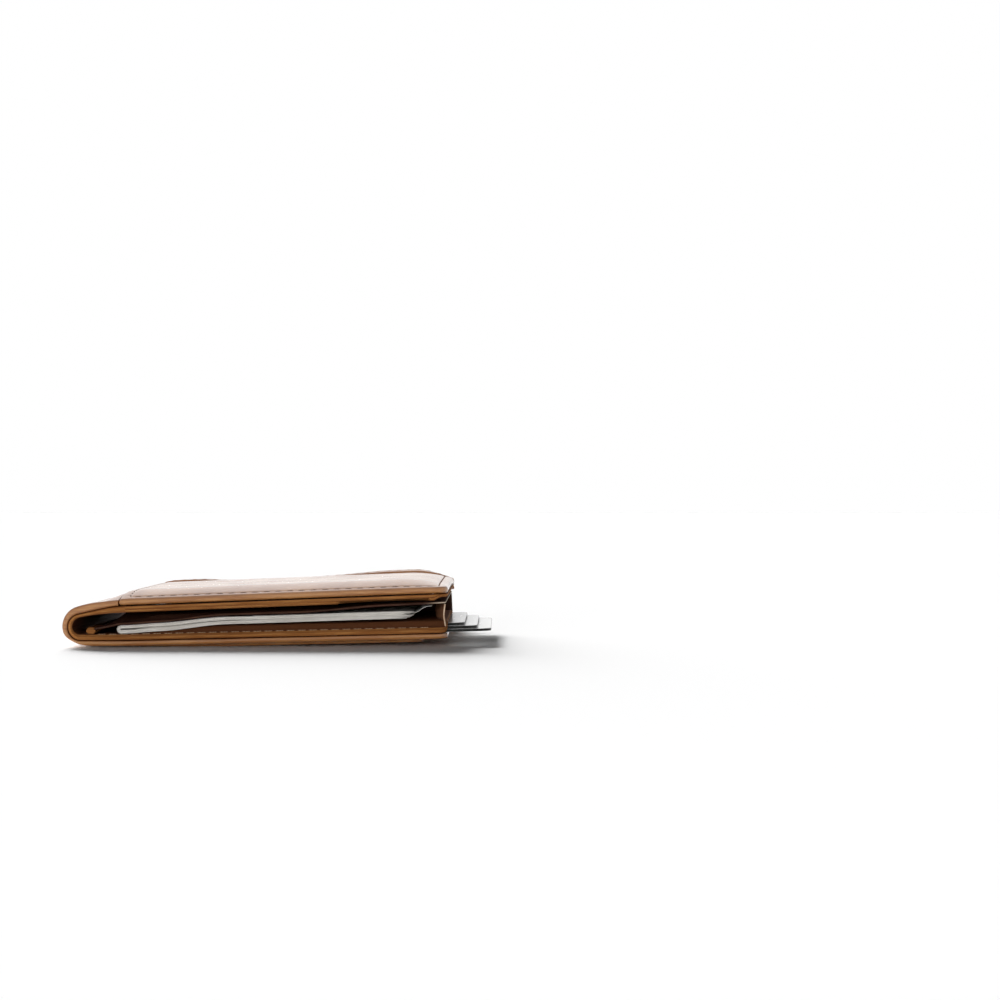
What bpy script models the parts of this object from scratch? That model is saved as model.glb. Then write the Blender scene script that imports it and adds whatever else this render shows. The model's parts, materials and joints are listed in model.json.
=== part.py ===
# A slim leather bifold wallet, closed, holding three cards, a folded bundle of notes and a slot card.
# X runs from the fold (left) to the free ends (right), Y runs away from the open edge, Z is up.
# The origin is on the table, in the middle of the leather's length and depth.
import math

import bmesh
import bpy
from mathutils import Vector

MM = 0.001

# What the wallet holds
CARD_LENGTH = 85.6 * MM
CARD_WIDTH = 54.0 * MM
CARD_THICKNESS = 0.76 * MM
CARD_CORNER = 3.2 * MM
CARD_OVERHANG = (12.2 * MM, 8.3 * MM, 4.7 * MM)   # past the free end: bottom, middle and top card
NOTE_HEIGHT = 67.0 * MM
NOTE_THICKNESS = 0.3 * MM
NOTE_LENGTH = 82.4 * MM                           # from the folded edge to the loose ends
BUNDLE_HEIGHT = 2.3 * MM

# Leather
COVER = 1.4 * MM
COVER_SKIVED = 0.7 * MM                           # pared thin under the front panel
PANEL = 0.9 * MM
HEM = 1.6 * MM                                    # turned double edge of the lower lining
LINING = 0.6 * MM
UPPER_LINING = 0.85 * MM
SLEEVE = 0.6 * MM
CORNER = 4.0 * MM
EDGE_ROUNDING = 0.15 * MM

# Clearances
GAP = 0.2 * MM                                    # between leather layers
CARD_GAP = 0.15 * MM                              # on each face of a card
SPLIT_GAP = 0.3 * MM                              # between the spine and each half
TABLE_GAP = 0.48 * MM                             # under the spine
SPINE_SIDE_CLEARANCE = 1.1 * MM                   # between the halves, where the cards begin
END_CLEARANCE = 0.4 * MM                          # between the halves, at the free ends
NOTE_END_CLEARANCE = 1.0 * MM                     # least room past the notes' loose ends

# Layout along the length
FOLD_RUN = 17.0 * MM                              # spine's outer face to where the upper half runs straight
SLOT_START = 1.0 * MM
SLOT_END = 4.4 * MM
LOWER_FLAT = 9.0 * MM
LOWER_EASE = 6.0 * MM
LOWER_TILT = math.radians(1.3)
FOLD_FLARE = math.radians(12.0)                   # slope of the upper half as it leaves the fold
HAIRPIN_FROM_SPINE = 15.0 * MM
SLEEVE_FROM_SPINE = 7.5 * MM
NOTE_RISE = 0.9 * MM                              # the bundle climbs towards its loose ends
SLEEVE_RISE = 1.4 * MM                            # the sleeve climbs above the bundle
POCKET_RAMP = 9.0 * MM                            # slope of the lining up on to the cards
FRONT_PANEL_START = 16.0 * MM
BACK_PANEL_START = 18.0 * MM
BACK_PANEL_END = 7.0 * MM                         # short of the free end

# Layout across the depth
NOTE_NEAR = 2.0 * MM
NOTE_FAR = 15.0 * MM
CARD_NEAR = 6.0 * MM
SLOT_NEAR = 3.0 * MM
SEAM = 2.0 * MM                                   # sewn border of a pocket
POCKET_SIDE = 5.0 * MM
SLEEVE_BORDER = 4.0 * MM
BACK_PANEL_SIDE = 6.0 * MM
BACK_PANEL_SLOPE = 12.0 * MM
CROWN = 2.2 * MM                                  # the upper half swells in the middle
CROWN_LEAD = 5.0 * MM                             # before the front panel's edge
CROWN_SPINE = 5.0 * MM
CROWN_SIDE = 17.0 * MM
CROWN_END = 14.0 * MM
CROWN_FAR = 0.78                                  # share of the swelling at the front panel's far edge
DROOP = 1.8 * MM                                  # the far corner of the upper free end hangs
DROOP_LENGTH = 12.0 * MM
FAR_HEM = 5.0 * MM                                # thick border of the cover past the panel's far edge
HEM_RISE = 0.8 * MM                               # its face over the panel's, towards the free end
HEM_RUN = 60.0 * MM
PANEL_STEP = 0.25 * MM                            # front panel's face over the thick cover beside it
FLUSH_RUN = 4.0 * MM                              # past the end of the fold, where the cover is thick
SHOULDER = 0.3 * MM                               # slope from the thick cover down to the panel's bed
NOTCH_WIDTH = 26.0 * MM
NOTCH_DEPTH = 8.0 * MM
NOTCH_FROM_END = 18.0 * MM
GUSSET_SET_BACK = 0.3 * MM
GUSSET_PLEAT = 1.0 * MM

# Facets
ARC_STEPS = 4
FOLD_STEPS = 6

# The leather is cut long enough for the slot card and for the notes inside the gusset
CARD_ROOM = FOLD_RUN + SLOT_START + CARD_LENGTH + SLOT_END
NOTE_ROOM = HAIRPIN_FROM_SPINE + BUNDLE_HEIGHT / 2 + NOTE_LENGTH + NOTE_END_CLEARANCE
GUSSET_ROOM = GUSSET_PLEAT + SLEEVE + GUSSET_SET_BACK
LENGTH = max(CARD_ROOM, NOTE_ROOM + GUSSET_ROOM)
DEPTH = NOTE_NEAR + NOTE_HEIGHT + NOTE_FAR
LEFT = -LENGTH / 2
NEAR = -DEPTH / 2
FAR = DEPTH / 2
PANEL_FAR = FAR - FAR_HEM
CARD_COUNT = len(CARD_OVERHANG)
CARD_PITCH = CARD_THICKNESS + CARD_GAP
POCKET = CARD_GAP + CARD_COUNT * CARD_PITCH       # height of the card pocket
SLOT = CARD_THICKNESS + 2 * CARD_GAP

LEATHER = ("tan_leather", (0.40, 0.19, 0.07), 0.42)
DARK_LEATHER = ("brown_leather", (0.10, 0.045, 0.022), 0.55)
PAPER = ("paper", (0.80, 0.79, 0.75), 0.8)
WHITE_CARD = ("white_card", (0.86, 0.86, 0.85), 0.35)
DARK_CARD = ("dark_card", (0.03, 0.032, 0.028), 0.3)


def mix(a, b, share):
    return a + (b - a) * share


def part_way(start, end, value):
    """Even step from 0 at start to 1 at end."""
    return min(1.0, max(0.0, (value - start) / (end - start)))


def ease(start, end, value):
    """Smooth step from 0 at start to 1 at end."""
    share = part_way(start, end, value)
    return share * share * (3 - 2 * share)


def bulge(start, end, value):
    """Step from 0 at start to 1 at end that is steep at its start and level at its end."""
    return 1 - (1 - part_way(start, end, value)) ** 2


def walk(start, heading, runs, distance):
    """Point and heading on a route of (length, turn) runs, each a line or an arc."""
    x, z = start
    for length, turn in runs:
        step = min(distance, length)
        if turn:
            radius = length / turn
            x += radius * (math.sin(heading + step / radius) - math.sin(heading))
            z -= radius * (math.cos(heading + step / radius) - math.cos(heading))
            heading += step / radius
        else:
            x += step * math.cos(heading)
            z += step * math.sin(heading)
        distance -= step
        if distance <= 0:
            break
    return x, z, heading


def lower_route(t):
    """Outer face of the lower cover, t along the leather from the bottom of the fold."""
    runs = ((LOWER_FLAT, 0), (LOWER_EASE, LOWER_TILT), (math.inf, 0))
    x, z, heading = walk((LEFT + SPINE_RADIUS, TABLE_GAP), 0.0, runs, t)
    return x, z, heading


def fold_route(s):
    """Outer face of the fold and the upper cover, s along the leather from the bottom of the fold."""
    runs = ((FOLD_LENGTH, -FOLD_ANGLE), (UPPER_EASE, UPPER_TILT - FOLD_FLARE), (math.inf, 0))
    return walk((LEFT + SPINE_RADIUS, TABLE_GAP), math.pi, runs, s)


def lower_point(t, y, inward):
    """Point at a depth inside the lower cover's outer face; below zero, t runs up the fold."""
    if t < 0:
        return fold_point(-t, y, inward)
    x, z, heading = lower_route(t)
    return Vector((x - inward * math.sin(heading), y, z + inward * math.cos(heading)))


def fold_point(s, y, inward):
    x, z, heading = fold_route(s)
    return Vector((x + inward * math.sin(heading), y, z - inward * math.cos(heading)))


# Lower half, bottom to top: cover, card pocket, lining, bundle of notes, sleeve
def lower_end_from(spine_radius):
    """Length of the lower cover from the bottom of the fold to its free end."""
    eased = LOWER_EASE * math.sin(LOWER_TILT) / LOWER_TILT
    return LOWER_FLAT + LOWER_EASE + (LENGTH - spine_radius - LOWER_FLAT - eased) / math.cos(LOWER_TILT)


def pocket_start():
    return LOWER_END - (CARD_LENGTH - min(CARD_OVERHANG)) - CARD_GAP


def pocket_along(t):
    return ease(pocket_start() - POCKET_RAMP, pocket_start(), t)


def pocket_across(y, near_edge, far_edge):
    return ease(NEAR + SEAM, near_edge, y) * ease(far_edge + POCKET_SIDE, far_edge, y)


def pocket_share(t, y):
    near_edge = NEAR + CARD_NEAR - CARD_GAP
    far_edge = NEAR + CARD_NEAR + CARD_WIDTH + CARD_GAP
    return pocket_along(t) * pocket_across(y, near_edge, far_edge)


def lining_low(t, y):
    return COVER + mix(GAP, POCKET, pocket_share(t, y))


def lining_top(t, y):
    return lining_low(t, y) + mix(HEM, LINING, pocket_share(t, y))


def bed(t):
    """Highest part of the lining across the depth."""
    return COVER + mix(GAP + HEM, POCKET + LINING, pocket_along(t))


def climb(t):
    return max(0.0, (t - HAIRPIN) / (LOWER_END - HAIRPIN))


def bundle_low(t):
    return bed(t) + GAP + NOTE_RISE * climb(t)


def sleeve_over_bundle(t):
    return bundle_low(t) + BUNDLE_HEIGHT + GAP + SLEEVE_RISE * climb(t)


def sleeve_low(t, y):
    sewn = lining_top(t, y) + GAP
    note_far = NEAR + NOTE_NEAR + NOTE_HEIGHT
    far_seam = FAR - SLEEVE_BORDER - SEAM
    raised = ease(SLEEVE_START, HAIRPIN, t) * ease(far_seam, note_far + GAP, y)
    return mix(sewn, sleeve_over_bundle(t), raised)


def sleeve_height(t):
    """Height of the sleeve's upper face over the table."""
    return lower_point(t, 0, sleeve_over_bundle(t) + SLEEVE).z


# The upper half lies over the sleeve, and the fold's radius follows from the stack it wraps
def settle_fold():
    """Slope of the upper half, radius of the fold and radius of the curve that joins them."""
    stack = UPPER_LINING + SLOT + COVER_SKIVED
    start_x = lower_point(pocket_start(), 0, 0).x - LEFT
    start_z = sleeve_height(pocket_start()) + SPINE_SIDE_CLEARANCE + stack
    end_z = sleeve_height(LOWER_END) + END_CLEARANCE + stack
    tilt = math.atan2(end_z - start_z, LENGTH - start_x)
    join_z = start_z - (start_x - FOLD_RUN) * math.tan(tilt)
    turn_x = math.sin(FOLD_FLARE) - math.sin(tilt)
    turn_z = math.cos(tilt) - math.cos(FOLD_FLARE)
    reach = 1 - math.sin(FOLD_FLARE)
    height = 1 + math.cos(FOLD_FLARE) - reach * turn_z / turn_x
    radius = (join_z - TABLE_GAP - FOLD_RUN * turn_z / turn_x) / height
    return tilt, radius, (FOLD_RUN - radius * reach) / turn_x


SPINE_RADIUS = FOLD_RUN / 3                       # first guess, settled with the lengths that rest on it
for settling_round in range(6):
    LOWER_END = lower_end_from(SPINE_RADIUS)
    HAIRPIN = HAIRPIN_FROM_SPINE - SPINE_RADIUS
    SLEEVE_START = SLEEVE_FROM_SPINE - SPINE_RADIUS
    UPPER_TILT, SPINE_RADIUS, EASE_RADIUS = settle_fold()

FOLD_ANGLE = math.pi - FOLD_FLARE
FOLD_LENGTH = SPINE_RADIUS * FOLD_ANGLE
UPPER_EASE = EASE_RADIUS * (FOLD_FLARE - UPPER_TILT)
UPPER_STRAIGHT = FOLD_LENGTH + UPPER_EASE
UPPER_END = UPPER_STRAIGHT + (LENGTH - FOLD_RUN) / math.cos(UPPER_TILT)
LOWER_SPLIT = FOLD_LENGTH / 4
UPPER_SPLIT = FOLD_LENGTH * 3 / 4
SPINE_HINGE = fold_point(LOWER_SPLIT, 0, 0)
UPPER_HINGE = fold_point(UPPER_SPLIT, 0, 0)


# Shared ways of making a piece
def arc(centre, radius, start, end, steps=ARC_STEPS):
    points = []
    for step in range(steps + 1):
        angle = mix(start, end, step / steps)
        points.append((centre[0] + radius * math.cos(angle), centre[1] + radius * math.sin(angle)))
    return points


def rounded_end(start, end, near, far, radius):
    """Rectangle with its two corners at the free end rounded."""
    turn = math.pi / 2
    low = arc((end - radius, near + radius), radius, -turn, 0)
    high = arc((end - radius, far - radius), radius, 0, turn)
    return [(start, near)] + low + high + [(start, far)]


def rounded_all(start, end, near, far, radius):
    turn = math.pi / 2
    right = rounded_end(start, end, near, far, radius)[1:-1]
    high = arc((start + radius, far - radius), radius, turn, 2 * turn)
    low = arc((start + radius, near + radius), radius, 2 * turn, 3 * turn)
    return right + high + low


def spread(start, end, count):
    return [mix(start, end, step / count) for step in range(1, count)]


def material(look):
    name, colour, roughness = look
    found = bpy.data.materials.get(name)
    if found:
        return found
    made = bpy.data.materials.new(name)
    made.use_nodes = True
    shader = made.node_tree.nodes["Principled BSDF"]
    shader.inputs["Base Color"].default_value = (*colour, 1)
    shader.inputs["Roughness"].default_value = roughness
    shader.inputs["Metallic"].default_value = 0
    return made


def sheet(name, outline, cuts_along, cuts_across, under, over, look, parent=None, rounding=EDGE_ROUNDING):
    """A plan outline, cut by lines both ways, laid between two faces given as functions of the plan."""
    mesh = bmesh.new()
    mesh.faces.new([mesh.verts.new((u, v, 0)) for u, v in outline])
    for axis, cuts in ((Vector((1, 0, 0)), cuts_along), (Vector((0, 1, 0)), cuts_across)):
        for cut in cuts:
            geometry = mesh.verts[:] + mesh.edges[:] + mesh.faces[:]
            bmesh.ops.bisect_plane(mesh, geom=geometry, dist=0.05 * MM, plane_co=axis * cut, plane_no=axis)
    raised = bmesh.ops.extrude_face_region(mesh, geom=mesh.faces[:], use_keep_orig=True)
    tops = {item for item in raised["geom"] if isinstance(item, bmesh.types.BMVert)}
    origin = parent.matrix_world.translation if parent else Vector()
    for vert in mesh.verts:
        face = over if vert in tops else under
        vert.co = face(vert.co.x, vert.co.y) - origin
    bmesh.ops.recalc_face_normals(mesh, faces=mesh.faces[:])
    return finish(name, mesh, look, parent, rounding)


def finish(name, mesh, look, parent, rounding):
    data = bpy.data.meshes.new(name)
    mesh.to_mesh(data)
    mesh.free()
    data.materials.append(material(look))
    data.shade_smooth()
    data.set_sharp_from_angle(angle=math.radians(40))
    piece = bpy.data.objects.new(name, data)
    bpy.context.collection.objects.link(piece)
    piece.parent = parent
    if rounding:
        bevel = piece.modifiers.new("edge_rounding", 'BEVEL')
        bevel.width = rounding
        bevel.segments = 1
        bevel.limit_method = 'ANGLE'
        bevel.angle_limit = math.radians(60)
    return piece


def pivot(name, place, parent=None):
    empty = bpy.data.objects.new(name, None)
    bpy.context.collection.objects.link(empty)
    empty.parent = parent
    empty.location = place - (parent.matrix_world.translation if parent else Vector())
    bpy.context.view_layer.update()
    return empty


# Lines where each layer is cut, so that layers that lie on each other bend at the same places
def lower_cuts():
    ramp = pocket_start() - POCKET_RAMP
    fold = [-LOWER_SPLIT * step / 3 for step in range(3)]
    bend = [LOWER_FLAT / 2, LOWER_FLAT, LOWER_FLAT + LOWER_EASE]
    slope = [ramp + POCKET_RAMP * step / 6 for step in range(7)]
    return fold + bend + slope + spread(pocket_start(), LOWER_END, 4)


def pocket_cuts(near_edge, far_edge):
    near_slope = spread(NEAR + SEAM, near_edge, 3)
    far_slope = spread(far_edge, far_edge + POCKET_SIDE, 3)
    return [NEAR + SEAM] + near_slope + [near_edge, far_edge] + far_slope + [far_edge + POCKET_SIDE]


def lower_cuts_across():
    near_edge = NEAR + CARD_NEAR - CARD_GAP
    return pocket_cuts(near_edge, near_edge + CARD_WIDTH + 2 * CARD_GAP)


def far_cuts():
    return [PANEL_FAR - CROWN_SIDE] + spread(PANEL_FAR - CROWN_SIDE, PANEL_FAR, 3) + [PANEL_FAR]


def crown_cuts():
    return spread(NEAR, NEAR + CROWN_SIDE, 4) + [NEAR + CROWN_SIDE] + far_cuts()


def upper_cuts():
    fold = spread(UPPER_SPLIT, FOLD_LENGTH, 3) + [FOLD_LENGTH]
    crown_top = panel_start() + CROWN_SPINE
    crown_end = UPPER_END - CROWN_END
    return (fold + spread(FOLD_LENGTH, UPPER_STRAIGHT, 3) + [UPPER_STRAIGHT]
            + spread(UPPER_STRAIGHT, crown_top, 3) + [crown_top] + spread(crown_top, crown_end, 4)
            + [crown_end] + spread(crown_end, UPPER_END, 4))


def panel_start():
    return UPPER_STRAIGHT - FOLD_RUN + FRONT_PANEL_START


# Lower half
def lower_cover():
    outline = rounded_end(-LOWER_SPLIT + SPLIT_GAP / 2, LOWER_END, NEAR, FAR, CORNER)
    sheet("lower_cover", outline, lower_cuts(), lower_cuts_across(),
          lambda t, y: lower_point(t, y, 0), lambda t, y: lower_point(t, y, COVER), LEATHER)


def back_panel():
    """A pocket panel under the lower cover, pared towards the spine and flat on the table."""
    start = BACK_PANEL_START - SPINE_RADIUS
    end = LOWER_END - BACK_PANEL_END
    near = NEAR + BACK_PANEL_SIDE
    far = FAR - BACK_PANEL_SIDE

    def room(t):
        x, z, heading = lower_route(t)
        return z / math.cos(heading)

    def thickness(t):
        return min(PANEL, room(t) - GAP)

    def under(t, y):
        inside = ease(end, end - BACK_PANEL_SLOPE, t)
        inside *= ease(near, near + BACK_PANEL_SLOPE, y) * ease(far, far - BACK_PANEL_SLOPE, y)
        return mix(GAP + thickness(t), room(t), inside)

    outline = rounded_all(start, end, near, far, CORNER)
    along = spread(start, end - BACK_PANEL_SLOPE, 4) + [end - BACK_PANEL_SLOPE, end - BACK_PANEL_SLOPE / 2]
    flat_near = near + BACK_PANEL_SLOPE
    flat_far = far - BACK_PANEL_SLOPE
    across = [(near + flat_near) / 2, flat_near, flat_far, (flat_far + far) / 2]
    sheet("back_panel", outline, along, across, lambda t, y: lower_point(t, y, -under(t, y)),
          lambda t, y: lower_point(t, y, thickness(t) - under(t, y)), LEATHER, rounding=0)


def lower_lining():
    outline = rounded_end(-LOWER_SPLIT + SPLIT_GAP / 2, LOWER_END, NEAR, FAR, CORNER)
    sheet("lower_lining", outline, lower_cuts(), lower_cuts_across(),
          lambda t, y: lower_point(t, y, lining_low(t, y)),
          lambda t, y: lower_point(t, y, lining_top(t, y)), LEATHER)


def note_sleeve():
    """Thin panel over the notes, sewn down at the spine and far sides, open at the near edge."""
    far = FAR - SLEEVE_BORDER
    outline = rounded_end(SLEEVE_START, LOWER_END - GUSSET_SET_BACK, NEAR, far, CORNER / 2)
    along = spread(SLEEVE_START, HAIRPIN, 4) + [HAIRPIN] + [cut for cut in lower_cuts() if cut > HAIRPIN]
    note_far = NEAR + NOTE_NEAR + NOTE_HEIGHT + GAP
    across = lower_cuts_across() + [note_far] + spread(note_far, far - SEAM, 3) + [far - SEAM]
    sheet("note_sleeve", outline, along, across, lambda t, y: lower_point(t, y, sleeve_low(t, y)),
          lambda t, y: lower_point(t, y, sleeve_low(t, y) + SLEEVE), DARK_LEATHER)


def sleeve_gusset():
    """Pleated end wall between the lining and the sleeve at the free end."""
    back = LOWER_END - GUSSET_SET_BACK - SLEEVE

    def wall(v, y, out):
        t = back - GUSSET_PLEAT * (1 - abs(2 * v - 1)) + out
        low = lining_top(t, y) + GAP
        high = sleeve_low(t, y) - GAP
        return lower_point(t, y, mix(low, high, v))

    far = NEAR + NOTE_NEAR + NOTE_HEIGHT
    outline = [(0, NEAR + CORNER / 2), (1, NEAR + CORNER / 2), (1, far), (0, far)]
    across = [cut for cut in lower_cuts_across() if NEAR + CORNER / 2 < cut < far]
    sheet("sleeve_gusset", outline, [0.5], across, lambda v, y: wall(v, y, 0),
          lambda v, y: wall(v, y, SLEEVE), DARK_LEATHER, rounding=0)


# Spine and upper half
def lining_depth_at_fold(s):
    """Thickness of the lining round the fold, from the hem below to the upper lining."""
    return mix(HEM, UPPER_LINING, s / FOLD_LENGTH)


def spine_cover(hinge):
    outline = [(LOWER_SPLIT + SPLIT_GAP / 2, NEAR), (UPPER_SPLIT - SPLIT_GAP / 2, NEAR),
               (UPPER_SPLIT - SPLIT_GAP / 2, FAR), (LOWER_SPLIT + SPLIT_GAP / 2, FAR)]
    sheet("spine_cover", outline, spread(LOWER_SPLIT, UPPER_SPLIT, FOLD_STEPS), [],
          lambda s, y: fold_point(s, y, 0), lambda s, y: fold_point(s, y, COVER), LEATHER, hinge)


def spine_lining(hinge):
    outline = [(LOWER_SPLIT + SPLIT_GAP / 2, NEAR), (UPPER_SPLIT - SPLIT_GAP / 2, NEAR),
               (UPPER_SPLIT - SPLIT_GAP / 2, FAR), (LOWER_SPLIT + SPLIT_GAP / 2, FAR)]
    outer = COVER + GAP
    sheet("spine_lining", outline, spread(LOWER_SPLIT, UPPER_SPLIT, FOLD_STEPS), [],
          lambda s, y: fold_point(s, y, outer),
          lambda s, y: fold_point(s, y, outer + lining_depth_at_fold(s)), LEATHER, hinge)


def crown(s, y):
    """Swelling of the upper cover and the front panel."""
    along = bulge(panel_start() - CROWN_LEAD, panel_start() + CROWN_SPINE, s)
    along *= bulge(UPPER_END, UPPER_END - CROWN_END, s)
    across = mix(1.0, CROWN_FAR, ease(PANEL_FAR - CROWN_SIDE, PANEL_FAR, y))
    return CROWN * along * bulge(NEAR, NEAR + CROWN_SIDE, y) * across


def droop(s, y):
    """How far the upper half hangs at the far corner of its free end."""
    along = part_way(UPPER_END - DROOP_LENGTH, UPPER_END, s)
    return DROOP * along ** 2 * part_way(PANEL_FAR - CROWN_SIDE, FAR, y) ** 2


def flush(s, y):
    """Extra thickness of the upper cover beside the front panel, towards the spine and the far edge."""
    spine_side = part_way(panel_start() - GAP, panel_start() - GAP - SHOULDER, s)
    far_side = part_way(PANEL_FAR + GAP, PANEL_FAR + GAP + SHOULDER, y)
    level = (GAP + PANEL - PANEL_STEP) * ease(UPPER_SPLIT, FOLD_LENGTH + FLUSH_RUN, s)
    hem = PANEL_STEP + HEM_RISE * ease(UPPER_END, UPPER_END - DROOP_LENGTH, s)
    rise = hem * ease(panel_start(), panel_start() + HEM_RUN, s) + droop(s, y)
    return level * max(spine_side, far_side) + rise * far_side


def upper_cover(hinge):
    def shift(s, y):
        return droop(s, y) - crown(s, y)

    def inner(s, y):
        return mix(COVER, COVER_SKIVED, ease(FOLD_LENGTH, UPPER_STRAIGHT, s)) + shift(s, y)

    outline = rounded_end(UPPER_SPLIT + SPLIT_GAP / 2, UPPER_END, NEAR, FAR, CORNER)
    bed_edge = panel_start() - GAP
    along = upper_cuts() + [bed_edge - SHOULDER, bed_edge]
    across = crown_cuts() + [PANEL_FAR + GAP, PANEL_FAR + GAP + SHOULDER]
    sheet("upper_cover", outline, along, across,
          lambda s, y: fold_point(s, y, shift(s, y) - flush(s, y)),
          lambda s, y: fold_point(s, y, inner(s, y)), LEATHER, hinge)


def front_panel(hinge):
    def under(s, y):
        return droop(s, y) - crown(s, y) - GAP

    near_corner = arc((UPPER_END - CORNER, NEAR + CORNER), CORNER, -math.pi / 2, 0)
    outline = [(panel_start(), NEAR)] + near_corner + [(UPPER_END, PANEL_FAR), (panel_start(), PANEL_FAR)]
    along = [cut for cut in upper_cuts() if cut > panel_start()]
    sheet("front_panel", outline, along, crown_cuts()[:-1],
          lambda s, y: fold_point(s, y, under(s, y) - PANEL),
          lambda s, y: fold_point(s, y, under(s, y)), LEATHER, hinge)


def slot_share(s, y):
    """Where the upper lining stands off the cover to hold the slot card."""
    far_edge = NEAR + SLOT_NEAR + CARD_WIDTH + CARD_GAP
    end = UPPER_END - SLOT_END + CARD_GAP
    return ease(far_edge + POCKET_SIDE, far_edge, y) * ease(end + (SLOT_END - SEAM), end, s)


def upper_lining(hinge):
    def outer(s, y):
        flat = COVER_SKIVED + mix(GAP, SLOT, slot_share(s, y))
        return mix(COVER + GAP, flat, ease(FOLD_LENGTH, UPPER_STRAIGHT, s)) + droop(s, y)

    def inner(s, y):
        return outer(s, y) + mix(lining_depth_at_fold(min(s, FOLD_LENGTH)), UPPER_LINING, s > FOLD_LENGTH)

    middle = UPPER_END - NOTCH_FROM_END
    round_scoop = arc((0, 0), 1, math.pi, 0, 2 * ARC_STEPS)
    scoop = [(middle + u * NOTCH_WIDTH / 2, NEAR + v * NOTCH_DEPTH) for u, v in round_scoop]
    ends = rounded_end(UPPER_SPLIT + SPLIT_GAP / 2, UPPER_END, NEAR, FAR, CORNER)
    outline = ends[:1] + scoop + ends[1:]
    far_edge = NEAR + SLOT_NEAR + CARD_WIDTH + CARD_GAP
    slope = spread(far_edge, far_edge + POCKET_SIDE, 3)
    across = [NEAR + NOTCH_DEPTH, far_edge] + slope + [far_edge + POCKET_SIDE]
    across += far_cuts()
    card_end = UPPER_END - SLOT_END + CARD_GAP
    along = [cut for cut in upper_cuts() if cut < card_end] + [card_end, UPPER_END - SEAM]
    sheet("upper_lining", outline, along, across, lambda s, y: fold_point(s, y, outer(s, y)),
          lambda s, y: fold_point(s, y, inner(s, y)), LEATHER, hinge)


# Contents
def card(name, look, centre, tilt, parent=None):
    outline = rounded_all(-CARD_LENGTH / 2, CARD_LENGTH / 2, -CARD_WIDTH / 2, CARD_WIDTH / 2, CARD_CORNER)
    piece = sheet(name, outline, [], [], lambda u, v: Vector((u, v, -CARD_THICKNESS / 2)),
                  lambda u, v: Vector((u, v, CARD_THICKNESS / 2)), look, rounding=0)
    piece.parent = parent
    piece.location = centre - (parent.matrix_world.translation if parent else Vector())
    piece.rotation_euler.y = -tilt


def pocket_cards():
    middle_y = NEAR + CARD_NEAR + CARD_WIDTH / 2
    for place, name in enumerate(("bottom_card", "middle_card", "top_card")):
        t = LOWER_END + CARD_OVERHANG[place] - CARD_LENGTH / 2
        inward = COVER + CARD_GAP + CARD_THICKNESS / 2 + place * CARD_PITCH
        card(name, WHITE_CARD, lower_point(t, middle_y, inward), LOWER_TILT)


def slot_card(hinge):
    middle_y = NEAR + SLOT_NEAR + CARD_WIDTH / 2
    s = UPPER_END - SLOT_END - CARD_LENGTH / 2
    centre = fold_point(s, middle_y, COVER_SKIVED + SLOT / 2)
    card("slot_card", DARK_CARD, centre, UPPER_TILT, hinge)


def folded_note(name, inset, length):
    """A note folded back on itself: lower leaf, hairpin bend and upper leaf, nested by its inset."""
    half = BUNDLE_HEIGHT / 2 - inset

    def leaf(w, y, depth):
        bend = math.pi / 2 * half
        along = HAIRPIN + BUNDLE_HEIGHT / 2 + max(0.0, abs(w) - bend)
        middle = bundle_low(along) + BUNDLE_HEIGHT / 2
        angle = max(-1.0, min(1.0, w / bend)) * math.pi / 2
        reach = half - depth
        return lower_point(along - reach * math.cos(angle), y, middle + reach * math.sin(angle))

    end = math.pi / 2 * half + length
    bends = [math.pi / 2 * half * step / 3 for step in range(-3, 4)]
    slopes = [cut - HAIRPIN - BUNDLE_HEIGHT / 2 for cut in lower_cuts()]
    runs = [math.pi / 2 * half + cut for cut in slopes if 0 < cut < length]
    outline = [(-end, NEAR + NOTE_NEAR), (end, NEAR + NOTE_NEAR),
               (end, NEAR + NOTE_NEAR + NOTE_HEIGHT), (-end, NEAR + NOTE_NEAR + NOTE_HEIGHT)]
    sheet(name, outline, bends + runs + [-cut for cut in runs], [], lambda w, y: leaf(w, y, 0),
          lambda w, y: leaf(w, y, NOTE_THICKNESS), PAPER, rounding=0)


def notes():
    folded_note("outer_note", 0, NOTE_LENGTH)
    folded_note("inner_note", NOTE_THICKNESS + GAP, NOTE_LENGTH - 3 * BUNDLE_HEIGHT)


def build():
    for old in list(bpy.data.objects):
        bpy.data.objects.remove(old)
    spine_hinge = pivot("spine_hinge", SPINE_HINGE)
    upper_hinge = pivot("upper_hinge", UPPER_HINGE, spine_hinge)
    lower_cover()
    back_panel()
    lower_lining()
    note_sleeve()
    sleeve_gusset()
    spine_cover(spine_hinge)
    spine_lining(spine_hinge)
    upper_cover(upper_hinge)
    front_panel(upper_hinge)
    upper_lining(upper_hinge)
    pocket_cards()
    slot_card(upper_hinge)
    notes()


build()
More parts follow.
